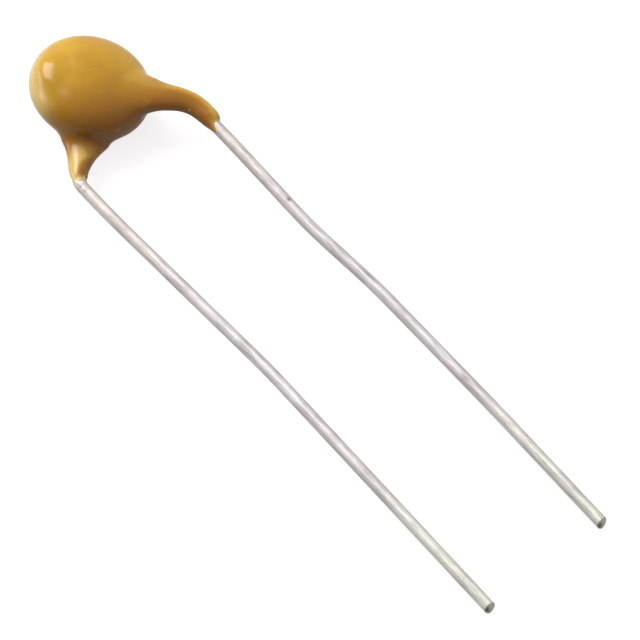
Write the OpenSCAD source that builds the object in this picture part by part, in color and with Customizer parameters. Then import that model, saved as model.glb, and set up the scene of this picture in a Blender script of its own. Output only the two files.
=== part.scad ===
// Ceramic disc capacitor with two wire leads, lying on a table on its rear face.
//
// A thin ceramic disc has a silver electrode on each face. A tinned wire is soldered across
// each electrode, and the disc is dipped in resin, which runs a short way down both wires.
//
// The disc is drawn on its own axes: X across the leads, Y up the disc and away from the leads,
// Z through its thickness, with the front face at +Z. Each wire runs in a plane along its face.
// Then the disc turns about Y until both leads lie in one plane, and tips about X until the
// cut ends and the body touch the table together.

/* [Ceramic disc] */
// Diameter of the ceramic disc
ceramic_d = 4.3; // [3.6:0.1:5.2]
// Thickness of the ceramic disc
ceramic_t = 1; // [0.7:0.1:1.3]
// Bare ceramic left round each electrode
electrode_margin = 0.25; // [0.15:0.05:0.4]
// Thickness of each silver electrode
electrode_t = 0.04; // [0.03:0.01:0.06]

/* [Resin coat] */
// Thickness of the coat over the rim of the ceramic
coat_rim = 0.55; // [0.4:0.05:0.8]
// Thickness of the coat over each wire, at the middle of the face
coat_cover = 0.3; // [0.25:0.05:0.6]
// Squareness of the rim, where 2 gives an ellipse
coat_square = 2.2; // [2:0.05:2.6]
// Thickness of the coat round each wire where the neck leaves the body
neck_wall = 0.58; // [0.5:0.02:0.64]
// How far the resin hangs in from each wire where the neck leaves the body
neck_sag = 0.3; // [0:0.02:0.36]
// Size of the fillet where the necks grow out of the body
neck_blend = 0.95; // [0.6:0.05:1.2]
// Thickness of the coat at the end of the neck on the front lead
front_neck_wall = 0.14; // [0.13:0.01:0.2]
// How far out from the wire the resin sits at the end of the neck on the front lead
front_neck_out = 0.1; // [0:0.01:0.11]
// Thickness of the coat at the end of the neck on the rear wire
rear_neck_wall = 0.14; // [0.08:0.01:0.2]
// How far the coat runs down the front lead, past its bend
front_coat_run = 0.95; // [0.5:0.05:1.5]
// How far the coat runs down the rear wire, past the start of its bend
rear_coat_run = 0.05; // [0:0.05:0.3]

/* [Leads] */
// Distance between the two leads where they leave the necks
lead_spacing = 6.4; // [5.6:0.1:7.6]
// Diameter of the wire
wire_d = 0.55; // [0.45:0.05:0.65]
// From the middle of the disc to the cut ends of the leads
lead_reach = 30.2; // [20:0.1:40]
// How far the disc sits off the middle line between the leads, towards the front lead
disc_shift = 0.25; // [0:0.05:0.4]
// From the edge of the body down to the lower end of the bend in the front wire
front_drop = 1.25; // [1:0.05:2]
// Angle of the bend in the front wire
front_bend = 41; // [34:1:46]
// Radius of the bend in the front wire
front_bend_r = 1.65; // [1.3:0.05:2.4]
// How far the front wire reaches past the middle of the disc
front_grip = 0.9; // [0.6:0.1:1.2]
// From the edge of the body down to the lower end of the bend in the rear wire
rear_drop = 0.95; // [0.8:0.05:1.8]
// Angle of the bend in the rear wire
rear_bend = 43; // [36:1:48]
// Radius of the bend in the rear wire
rear_bend_r = 0.9; // [0.7:0.05:1.2]
// How far the rear wire reaches past the middle of the disc
rear_grip = 0.5; // [0.3:0.1:1]
// Radius of the slight bows in both leads
bow_r = 12; // [6:1:20]

/* [Solder] */
// Thickness of the solder between each wire and its electrode
solder_film = 0.05; // [0.03:0.01:0.08]
// Width of the solder fillet
solder_w = 1.3; // [1:0.1:1.6]
// Height of the solder fillet
solder_h = 0.5; // [0.4:0.05:0.55]
// Length of the solder along the wire
solder_len = 1.7; // [1.2:0.1:2]
// How far the solder reaches past the inner end of the wire
solder_over = 0.25; // [0.1:0.05:0.4]

/* [Hidden] */
$fn = 48;

FRONT = 1;
REAR = -1;

wire_r = wire_d / 2;
electrode_d = ceramic_d - 2 * electrode_margin;
// Edge of the solder fillet where it thins out on the electrode
solder_toe = 0.05;

// Height of each wire's centre line over the middle plane of the ceramic
wire_z = ceramic_t / 2 + electrode_t + solder_film + wire_r;
// Distance between the leads along the faces, and the turn that lays both in one plane
lead_run = sqrt(lead_spacing * lead_spacing - 4 * wire_z * wire_z);
lean = atan2(2 * wire_z, lead_run);

coat_r = ceramic_d / 2 + coat_rim;
coat_half = wire_z + wire_r + coat_cover;

// How much thinner the wire's radius is in a bend, and how far a bend laps into the straights
bend_thinning = 0.002;
bend_lap = 0.02;

// Slight bows in each lead: how far on from the last one, as a share of the lead's length,
// and the turn in degrees, towards the other lead where it is positive
front_bows = [[0.08, 1.4], [0.17, -5], [0.12, 3.6], [0.27, 1]];
rear_bows = [[0.07, 2], [0.35, -2.9]];

// How fast the necks narrow, where 1 is even
neck_taper = 1.7;
// Share of the blend that is left at the middle of the faces
least_blend = 0.01;

// Rings of the coat: sides of a ring, rings over the middle of the disc, over each rim, from
// there to each neck, along each neck and round each end of the coat
ring_sides = 32;
disc_rings = 13;
rim_rings = 9;
crotch_rings = 8;
neck_rings = 9;
lip_rings = 3;
// How far out the upright rings of the disc go, as a share of the body's radius
disc_share = 0.55;
// How far before the bend the rings square up to the wire
square_up = 0.2;
// Length over which the coat rounds in to the wire, and its thickness at the very end
lip_len = 0.15;
lip_wall = 0.03;
// Steps that bring a point from the centre line out to the skin, and the share of each step
skin_steps = 16;
skin_step = 0.9;
// Passes that spread the points evenly over the skin, and the step that its slope is read over
spread_passes = 14;
slope_step = 0.001;

// A point on a wire at a distance past the start of its bend, and the way out from the bend
function wire_at(centre, radius, angle, past) =
    let (
        turned = max(0, min(angle, past / radius * 180 / PI)),
        out = [cos(angle - turned), sin(angle - turned)],
        over = past - turned / 180 * PI * radius
    )
    [centre + radius * out + over * [out.y, -out.x], out];

// Plan of a wire in the plane of its face, drawn on the +X side: inner end, start of the bend,
// centre of the bend, end of the bend, radius, angle, side, where the coat ends past the start
// of the bend, how far that is from the disc's middle, and how thick and how far out it is there
function wire_plan(side, drop, angle, radius, grip, coat_end, end_wall, end_out) =
    let (
        bend_end = [lead_run / 2 - side * disc_shift, -coat_r - drop],
        centre = bend_end - [radius, 0],
        start = centre + radius * [cos(angle), sin(angle)],
        run = (grip - start.y) / cos(angle),
        inner_end = start - run * [sin(angle), -cos(angle)],
        coat_far = norm(wire_at(centre, radius, angle, coat_end)[0])
    )
    [inner_end, start, centre, bend_end, radius, angle, side, coat_end, coat_far, end_wall, end_out];

front_plan = wire_plan(
    FRONT, front_drop, front_bend, front_bend_r, front_grip,
    front_bend_r * front_bend / 180 * PI + front_coat_run, front_neck_wall, front_neck_out
);
rear_plan = wire_plan(
    REAR, rear_drop, rear_bend, rear_bend_r, rear_grip, rear_coat_run, rear_neck_wall, 0
);

function bend_start(plan) = plan[1];
function bend_centre(plan) = plan[2];
function bend_end(plan) = plan[3];
function bend_radius(plan) = plan[4];
function bend_angle(plan) = plan[5];
function side_of(plan) = plan[6];
function coat_end(plan) = plan[7];
function coat_far(plan) = plan[8];
function end_wall(plan) = plan[9];
function end_out(plan) = plan[10];
function run_length(plan) = norm(bend_start(plan) - plan[0]);

// The wire as a path: each step is a straight length, a turn towards the other lead, the radius
// of that turn and a roll about the wire. A frame is a 4 x 4 matrix with Z along the wire, X
// towards the other lead and the ceramic at +Y.
function move(v) = [[1, 0, 0, v.x], [0, 1, 0, v.y], [0, 0, 1, v.z], [0, 0, 0, 1]];
function turn(a) = [[cos(a), 0, sin(a), 0], [0, 1, 0, 0], [-sin(a), 0, cos(a), 0], [0, 0, 0, 1]];
function roll(a) = [[cos(a), -sin(a), 0, 0], [sin(a), cos(a), 0, 0], [0, 0, 1, 0], [0, 0, 0, 1]];
function after(frame, step) =
    let (r = sign(step[1]) * step[2])
    frame * move([r, 0, step[0]]) * turn(step[1]) * move([-r, 0, 0]) * roll(step[3]);
function frames(frame, steps, i = 0) =
    i == len(steps) ? [frame] : concat([frame], frames(after(frame, steps[i]), steps, i + 1));

function first_frame(plan) =
    let (s = side_of(plan), b = bend_angle(plan))
    [
        [-s * cos(b), 0, s * sin(b), s * plan[0].x],
        [-sin(b), 0, -cos(b), plan[0].y],
        [0, -s, 0, s * wire_z],
        [0, 0, 0, 1]
    ];

function path_steps(plan, bows) =
    let (lead = lead_reach + bend_end(plan).y)
    concat(
        [[run_length(plan), bend_angle(plan), bend_radius(plan), lean]],
        [for (bow = bows) [bow[0] * lead, bow[1], bow_r, 0]]
    );

// The last straight length ends where the wires are cut
function cut_length(frame) = (lead_reach + frame[1][3]) / -frame[1][2];

// Distance from a point to a line between two points, and to the centre line of a wire
function line_gap(p, a, b) =
    let (ab = b - a, t = max(0, min(1, (p - a) * ab / (ab * ab))))
    norm(p - a - t * ab);
function bend_gap(p, plan) =
    let (v = p - bend_centre(plan), a = atan2(v.y, v.x))
    a < 0 || a > bend_angle(plan) ? lead_reach : abs(norm(v) - bend_radius(plan));
function wire_gap(q, z, plan) =
    norm([
        min(
            line_gap(q, plan[0], bend_start(plan)),
            bend_gap(q, plan),
            line_gap(q, bend_end(plan), bend_end(plan) - [0, front_coat_run + lead_spacing])
        ),
        z
    ]);

// Distance from a point to a neck. Towards the body it widens along the face, not through it,
// and hangs inwards from its wire.
function neck_gap(p, plan) =
    let (
        s = side_of(plan),
        left = (coat_far(plan) - norm([p.x, p.y])) / (coat_far(plan) - coat_r),
        swell = pow(max(0, min(1, left)), neck_taper),
        half_height = wire_r + end_wall(plan),
        half_width = half_height + (neck_wall - end_wall(plan)) * swell,
        inwards = neck_sag * swell - end_out(plan) * (1 - swell),
        z = (p.z - s * wire_z) * half_width / half_height
    )
    wire_gap([s * p.x + inwards, p.y], z, plan) - half_width;

// Distance from a point to the dipped body, along the line from the body's middle
function body_gap(p) =
    let (
        across = norm([p.x, p.y]) / coat_r,
        size = pow(pow(across, coat_square) + pow(abs(p.z) / coat_half, coat_square), 1 / coat_square)
    )
    size < 0.001 ? -coat_half : norm(p) * (1 - 1 / size);

// The skin of the coat is where this is 0: the body and both necks, blended as resin would flow.
// The blend fades out towards the middle of the faces, where the wires lie under the coat.
function flow(a, b, blend) = min(a, b) - pow(max(blend - abs(a - b), 0), 2) / (4 * blend);
function blend_at(p) =
    neck_blend * max(least_blend, min(1, (p.x * p.x + p.y * p.y) / (coat_r * coat_r)));
function skin_gap(p) =
    let (blend = blend_at(p))
    flow(flow(body_gap(p), neck_gap(p, front_plan), blend), neck_gap(p, rear_plan), blend);
function skin_reach(centre, way, reach = 0, left = skin_steps) =
    left == 0 ? reach
    : skin_reach(centre, way, max(0, reach - skin_step * skin_gap(centre + reach * way)), left - 1);

// The nearest point of the skin, along the way in which the gap grows fastest
function onto_skin(p) =
    let (
        gap = skin_gap(p),
        ways = [[1, 0, 0], [0, 1, 0], [0, 0, 1]],
        slope = [for (way = ways) (skin_gap(p + slope_step * way) - gap) / slope_step]
    )
    p - gap / (slope * slope) * slope;

// Each pass moves a point to the middle of its four neighbours and back onto the skin. The ends
// of the coat keep their points.
function spread_row(rows, i) = [
    for (j = [0:ring_sides - 1])
        let (
            beside = rows[i][(j + 1) % ring_sides] + rows[i][(j + ring_sides - 1) % ring_sides],
            along = rows[i - 1][j] + rows[i + 1][j]
        )
        onto_skin((beside + along) / 4)
];
function spread_points(rows, left = spread_passes) =
    left == 0 ? rows
    : spread_points(
        [
            for (i = [0:len(rows) - 1])
                i > lip_rings && i < len(rows) - 1 - lip_rings ? spread_row(rows, i) : rows[i]
        ],
        left - 1
    );

// A ring is a centre, its outward direction in the plan and the largest radius that it may have
function side_ring(plan, at, out, z, limit) =
    let (s = side_of(plan)) [[s * at.x, at.y, s * z], [s * out.x, out.y, 0], limit];

// Ring on a wire at a distance past the start of its bend
function wire_ring(plan, past, limit) =
    let (at = wire_at(bend_centre(plan), bend_radius(plan), bend_angle(plan), past))
    side_ring(plan, at[0], at[1], wire_z, limit);

// Where the rings turn from across the disc to across the wire, they turn about a pivot in the
// crotch. They lie closest where they leave the rim, since the skin falls away fastest there.
function pivot(plan) =
    let (
        b = bend_angle(plan),
        x = disc_share * coat_r,
        wire_end = bend_start(plan) - square_up * [sin(b), -cos(b)]
    )
    [x, wire_end.y - (wire_end.x - x) * tan(b)];
function rim_angle(at, share) =
    atan2(at.x, -at.y) + acos(coat_r * sin(asin(disc_share) * (1 - share) + 90 * share) / norm(at));
function turn_angles(plan) =
    let (at = pivot(plan), rim = rim_angle(at, 1))
    concat(
        [for (i = [1:rim_rings]) rim_angle(at, i / rim_rings)],
        [for (i = [1:crotch_rings]) rim + (bend_angle(plan) - rim) * i / crotch_rings]
    );

// The centres of those rings settle from the disc's middle line onto the wire
function turn_ring(plan, a) =
    let (
        b = bend_angle(plan),
        along = [sin(b), -cos(b)],
        out = [cos(a), sin(a)],
        at = pivot(plan),
        to_wire = cross(bend_start(plan) - at, along) / cross(out, along),
        settled = 1 - pow(1 - (90 - a) / (90 - b), 4),
        far = to_wire * settled - at.y * (1 - settled)
    )
    side_ring(plan, at + far * out, out, wire_z * settled, coat_r);

function neck_side(plan) =
    let (squared = coat_end(plan) - lip_len + square_up)
    concat(
        [for (a = turn_angles(plan)) turn_ring(plan, a)],
        [for (i = [1:neck_rings]) wire_ring(plan, squared * i / neck_rings - square_up, coat_r)],
        [
            for (i = [1:lip_rings])
                let (a = 90 * i / lip_rings)
                wire_ring(
                    plan,
                    coat_end(plan) - lip_len * (1 - sin(a)),
                    wire_r + lip_wall + (end_wall(plan) - lip_wall) * cos(a)
                )
        ]
    );

function reversed(list) = [for (i = [len(list) - 1:-1:0]) list[i]];

function ring_points(ring) = [
    for (i = [0:ring_sides - 1])
        let (
            a = 360 * i / ring_sides,
            way = cos(a) * ring[1] + [0, 0, sin(a)]
        )
        ring[0] + min(ring[2], skin_reach(ring[0], way)) * way
];

// Closed skin over a row of rings, each with the same number of points
module skin(rows) {
    n = len(rows[0]);
    last = (len(rows) - 1) * n;
    points = [for (row = rows) each row];
    faces = concat(
        [[for (j = [0:n - 1]) j]],
        [[for (j = [n - 1:-1:0]) last + j]],
        [
            for (i = [0:n:last - n], j = [0:n - 1])
                let (k = (j + 1) % n)
                each [[i + j, i + n + j, i + n + k], [i + j, i + n + k, i + k]]
        ]
    );
    polyhedron(points, faces, convexity = 6);
}

module coat_form() {
    spread = 2 * asin(disc_share) / (disc_rings - 1);
    rings = concat(
        reversed(neck_side(rear_plan)),
        [
            for (i = [0:disc_rings - 1])
                [[coat_r * sin(spread * i - asin(disc_share)), 0, 0], [0, 1, 0], coat_r]
        ],
        neck_side(front_plan)
    );
    skin(spread_points([for (ring = rings) ring_points(ring)]));
}

// Bend that starts at the origin along Z and turns towards +X, or -X where the angle is
// negative. It is drawn a hair thinner than the rods and laps into both, as bent wire thins.
module bend(angle, radius) {
    lap = bend_lap / radius * 180 / PI;
    mirror([angle < 0 ? 1 : 0, 0, 0])
        translate([radius, 0, 0])
            rotate([90, lap, 180])
                rotate_extrude(angle = abs(angle) + 2 * lap)
                    translate([radius, 0])
                        circle(r = wire_r - bend_thinning);
}

module wire(plan, bows) {
    steps = path_steps(plan, bows);
    places = frames(first_frame(plan), steps);
    for (i = [0:len(steps) - 1])
        multmatrix(places[i]) {
            cylinder(h = steps[i][0], r = wire_r);
            translate([0, 0, steps[i][0]]) bend(steps[i][1], steps[i][2]);
        }
    last = places[len(steps)];
    multmatrix(last) cylinder(h = cut_length(last), r = wire_r);
}

module silver(side) {
    translate([0, 0, side * (ceramic_t + electrode_t) / 2])
        cylinder(h = electrode_t, d = electrode_d, center = true);
}

module ceramic() {
    cylinder(h = ceramic_t, d = ceramic_d, center = true);
}

// Solder bed along a wire, hollowed into a fillet on both sides
module solder_bed(plan) {
    floor_y = wire_r + solder_film;
    length = solder_over + solder_len;
    multmatrix(first_frame(plan))
        translate([0, 0, -solder_over])
            difference() {
                translate([-solder_w / 2, floor_y - solder_h, 0]) cube([solder_w, solder_h, length]);
                for (x = [-1, 1])
                    translate([x * solder_w / 2, floor_y - solder_h, -length / 2])
                        cylinder(h = 2 * length, r = solder_h - solder_toe);
            }
}

// Lowest point of the turned body below its middle, from the support of the rounded form
power = coat_square / (coat_square - 1);
body_low = pow(
    pow(coat_r * sin(lean), power) + pow(coat_half * cos(lean), power),
    1 / power
);
// Height of the cut ends' lowest side below the middle of the disc, before it tips
lead_low = wire_r + wire_z * cos(lean) - (lead_run / 2 + disc_shift) * sin(lean);
tip_angle = asin((body_low - lead_low) / lead_reach);

// Places the disc on the table, with the origin under the middle of the whole part
module lay() {
    translate([disc_shift, (lead_reach - coat_r) / 2, body_low])
        rotate([tip_angle, 0, 0])
            rotate([0, lean, 0])
                children();
}

module coating() {
    color([0.72, 0.5, 0.16])
        lay()
            difference() {
                coat_form();
                ceramic();
                silver(FRONT);
                silver(REAR);
                solder_bed(front_plan);
                solder_bed(rear_plan);
                wire(front_plan, front_bows);
                wire(rear_plan, rear_bows);
            }
}

module front_lead() {
    color([0.82, 0.82, 0.8]) lay() wire(front_plan, front_bows);
}

module rear_lead() {
    color([0.82, 0.82, 0.8]) lay() wire(rear_plan, rear_bows);
}

module dielectric_disc() {
    color([0.78, 0.72, 0.6]) lay() ceramic();
}

module front_electrode() {
    color([0.9, 0.9, 0.88]) lay() silver(FRONT);
}

module rear_electrode() {
    color([0.9, 0.9, 0.88]) lay() silver(REAR);
}

module front_solder() {
    color([0.7, 0.71, 0.72])
        lay()
            difference() {
                solder_bed(front_plan);
                wire(front_plan, front_bows);
            }
}

module rear_solder() {
    color([0.7, 0.71, 0.72])
        lay()
            difference() {
                solder_bed(rear_plan);
                wire(rear_plan, rear_bows);
            }
}

coating();
front_lead();
rear_lead();
dielectric_disc();
front_electrode();
rear_electrode();
front_solder();
rear_solder();
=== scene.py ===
"""Looks of a ceramic disc capacitor that lies on a table: a dipped resin coat and two tinned wires.

The disc is worked out on its own axes, in millimetres: X across the leads, Y up the disc and
away from the leads, Z through its thickness, with the front face at +Z. A last step lays it on
the table, in metres, where the CAD model has it.
"""

import logging
import math
from dataclasses import dataclass, field
from enum import Enum

import bpy
import numpy as np
from mathutils import Matrix

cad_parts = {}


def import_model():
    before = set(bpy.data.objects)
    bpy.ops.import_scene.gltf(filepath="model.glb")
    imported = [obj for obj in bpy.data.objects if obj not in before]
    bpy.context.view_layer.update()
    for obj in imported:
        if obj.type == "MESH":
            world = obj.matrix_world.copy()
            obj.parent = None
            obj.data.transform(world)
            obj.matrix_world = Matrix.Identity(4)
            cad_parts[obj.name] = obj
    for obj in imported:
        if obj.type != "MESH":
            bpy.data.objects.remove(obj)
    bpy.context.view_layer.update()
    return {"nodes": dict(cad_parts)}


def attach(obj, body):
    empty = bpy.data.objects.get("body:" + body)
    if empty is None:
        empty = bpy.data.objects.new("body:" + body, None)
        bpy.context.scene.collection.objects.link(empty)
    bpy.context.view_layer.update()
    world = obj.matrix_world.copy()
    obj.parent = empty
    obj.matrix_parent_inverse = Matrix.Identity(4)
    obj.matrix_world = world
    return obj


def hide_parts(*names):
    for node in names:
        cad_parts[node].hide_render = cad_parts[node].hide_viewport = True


LOG = logging.getLogger("disc_capacitor")
MM = 0.001


class Side(Enum):
    """The face of the disc that a wire is soldered to."""

    FRONT = 1
    REAR = -1


def smooth_step(x: np.ndarray) -> np.ndarray:
    """Eases from 0 to 1.

    Args:
        x: Share of the way, of any value.

    Returns:
        3 x^2 - 2 x^3 of the share, held between 0 and 1.
    """
    x = np.clip(x, 0.0, 1.0)
    return x * x * (3.0 - 2.0 * x)


def segment_gap(points: np.ndarray, start: np.ndarray, end: np.ndarray) -> np.ndarray:
    """Distance in the plan from points to a straight line between two points.

    Args:
        points: Plan points, with x and y on the last axis.
        start: One end of the line.
        end: Its other end.

    Returns:
        Length of what is left of each point once its share along the line is taken off.
    """
    along = end - start
    share = np.clip((points - start) @ along / (along @ along), 0.0, 1.0)
    return np.linalg.norm(points - start - share[..., None] * along, axis=-1)


@dataclass(frozen=True)
class DiscSizes:
    """Sizes of the disc, its coat and its wires, in millimetres, as the CAD model has them."""

    ceramic_d: float = 4.3
    ceramic_t: float = 1.0
    electrode_t: float = 0.04
    solder_film: float = 0.05
    coat_rim: float = 0.55
    coat_cover: float = 0.3
    coat_square: float = 2.2
    neck_wall: float = 0.58
    neck_sag: float = 0.3
    neck_blend: float = 0.95
    neck_taper: float = 1.7
    least_blend: float = 0.01
    lead_spacing: float = 6.4
    wire_d: float = 0.55
    lead_reach: float = 30.2
    disc_shift: float = 0.25

    @property
    def wire_r(self) -> float:
        """Radius of the wire."""
        return self.wire_d / 2

    @property
    def wire_z(self) -> float:
        """Height of each wire's centre line over the middle plane of the ceramic."""
        return self.ceramic_t / 2 + self.electrode_t + self.solder_film + self.wire_r

    @property
    def lead_run(self) -> float:
        """Distance between the leads along the faces, the short side of a right triangle."""
        return math.sqrt(self.lead_spacing**2 - 4 * self.wire_z**2)

    @property
    def lean(self) -> float:
        """Turn about Y that lays both leads in one plane."""
        return math.atan2(2 * self.wire_z, self.lead_run)

    @property
    def coat_r(self) -> float:
        """Radius of the coated body."""
        return self.ceramic_d / 2 + self.coat_rim

    @property
    def coat_half(self) -> float:
        """Half of the coated body's thickness."""
        return self.wire_z + self.wire_r + self.coat_cover

    @property
    def body_low(self) -> float:
        """Lowest point of the leaning body below its middle, from its support function."""
        power = self.coat_square / (self.coat_square - 1)
        across = (self.coat_r * math.sin(self.lean)) ** power
        through = (self.coat_half * math.cos(self.lean)) ** power
        return (across + through) ** (1 / power)

    @property
    def tip(self) -> float:
        """Turn about X that brings the cut ends down to the table."""
        rise = self.wire_z * math.cos(self.lean)
        fall = (self.lead_run / 2 + self.disc_shift) * math.sin(self.lean)
        return math.asin((self.body_low - self.wire_r - rise + fall) / self.lead_reach)

    def lay(self, points: np.ndarray) -> np.ndarray:
        """Lays points of the disc on the table: a turn about Y, a turn about X, then a shift.

        Args:
            points: Points on the disc's own axes, in millimetres.

        Returns:
            The points on the table's axes, in metres.
        """
        lean, tip = self.lean, self.tip
        about_y = np.array(
            [
                [math.cos(lean), 0, math.sin(lean)],
                [0, 1, 0],
                [-math.sin(lean), 0, math.cos(lean)],
            ]
        )
        about_x = np.array(
            [[1, 0, 0], [0, math.cos(tip), -math.sin(tip)], [0, math.sin(tip), math.cos(tip)]]
        )
        shift = np.array([self.disc_shift, (self.lead_reach - self.coat_r) / 2, self.body_low])
        return (points @ about_y.T @ about_x.T + shift) * MM


@dataclass(frozen=True)
class Bow:
    """A slight bow in a lead: how far on from the last one, as a share of the lead, and its turn."""

    share: float
    degrees: float
    length: float = 2.6


@dataclass(frozen=True)
class Tongue:
    """A tongue of film at the coat's end: where it lies round the wire, its width and length."""

    angle: float
    width: float
    length: float


@dataclass(frozen=True)
class WireCourse:
    """Course of one wire: across its face, through its bend and down its lead."""

    side: Side
    sizes: DiscSizes
    drop: float
    bend: float
    radius: float
    grip: float
    coat_run: float
    end_wall: float
    end_out: float
    square_up: float
    thin_end: float
    # How pale the resin shows where it thins on this wire; it also scales the painted light on its neck's
    # outer side.
    paleness: float
    bows: tuple[Bow, ...]
    tongues: tuple[Tongue, ...] = ()

    @property
    def angle(self) -> float:
        """Angle of the bend, in radians."""
        return math.radians(self.bend)

    @property
    def bend_end(self) -> np.ndarray:
        """Lower end of the bend, in the plan drawn on the +X side."""
        x = self.sizes.lead_run / 2 - self.side.value * self.sizes.disc_shift
        return np.array([x, -self.sizes.coat_r - self.drop])

    @property
    def centre(self) -> np.ndarray:
        """Centre of the bend."""
        return self.bend_end - np.array([self.radius, 0.0])

    @property
    def along(self) -> np.ndarray:
        """Way that the wire runs across its face."""
        return np.array([math.sin(self.angle), -math.cos(self.angle)])

    @property
    def bend_start(self) -> np.ndarray:
        """Upper end of the bend."""
        return self.centre + self.radius * np.array([math.cos(self.angle), math.sin(self.angle)])

    @property
    def face_run(self) -> float:
        """Length of the straight stretch across the face."""
        return (self.grip - self.bend_start[1]) / math.cos(self.angle)

    @property
    def inner_end(self) -> np.ndarray:
        """Inner end of the wire, on the electrode."""
        return self.bend_start - self.face_run * self.along

    @property
    def coat_end(self) -> float:
        """How far past the start of the bend the coat ends."""
        return self.coat_run

    def at(self, past: np.ndarray) -> tuple[np.ndarray, np.ndarray]:
        """Points on the wire at distances past the start of its bend, and the way out from it.

        Args:
            past: Distances, negative on the face.

        Returns:
            Plan points on an arc carried on by its tangents, and the arc's outward directions.
        """
        turned = np.clip(past / self.radius, 0.0, self.angle)
        out = np.stack([np.cos(self.angle - turned), np.sin(self.angle - turned)], -1)
        over = (past - turned * self.radius)[..., None]
        tangent = np.stack([out[..., 1], -out[..., 0]], -1)
        return self.centre + self.radius * out + over * tangent, out

    def plan_gap(self, points: np.ndarray) -> np.ndarray:
        """Distance in the plan to the centre line: the least of the line, the arc and the lead.

        Args:
            points: Plan points on the +X side.

        Returns:
            The distances.
        """
        offset = points - self.centre
        angle = np.arctan2(offset[..., 1], offset[..., 0])
        arc = np.abs(np.linalg.norm(offset, axis=-1) - self.radius)
        arc = np.where((angle < 0) | (angle > self.angle), self.sizes.lead_reach, arc)
        lower = self.bend_end - np.array([0.0, self.coat_run + self.sizes.lead_spacing])
        face = segment_gap(points, self.inner_end, self.bend_start)
        lead = segment_gap(points, self.bend_end, lower)
        return np.minimum(np.minimum(face, arc), lead)

    def neck_gap(self, points: np.ndarray) -> np.ndarray:
        """Distance to the resin neck, which widens along the face and hangs in towards the body.

        Args:
            points: Points on the disc's axes.

        Returns:
            Distance to the centre line less the neck's half width, which swells from the end of
            the coat to the body by a power of the share of that way.
        """
        s, sizes = self.side.value, self.sizes
        far = float(np.linalg.norm(self.at(np.array(self.coat_end))[0]))
        reach = np.hypot(points[..., 0], points[..., 1])
        swell = np.clip((far - reach) / (far - sizes.coat_r), 0.0, 1.0) ** sizes.neck_taper
        half_height = sizes.wire_r + self.end_wall
        half_width = half_height + (sizes.neck_wall - self.end_wall) * swell
        inwards = sizes.neck_sag * swell - self.end_out * (1 - swell)
        plan = np.stack([s * points[..., 0] + inwards, points[..., 1]], -1)
        z = (points[..., 2] - s * sizes.wire_z) * half_width / half_height
        return np.hypot(self.plan_gap(plan), z) - half_width


@dataclass(frozen=True)
class Bubble:
    """A small bubble in the skin: its place on the disc's axes, radius, height and the paleness of its
    painted highlight.
    """

    at: tuple[float, float, float]
    radius: float
    height: float
    paleness: float


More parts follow.
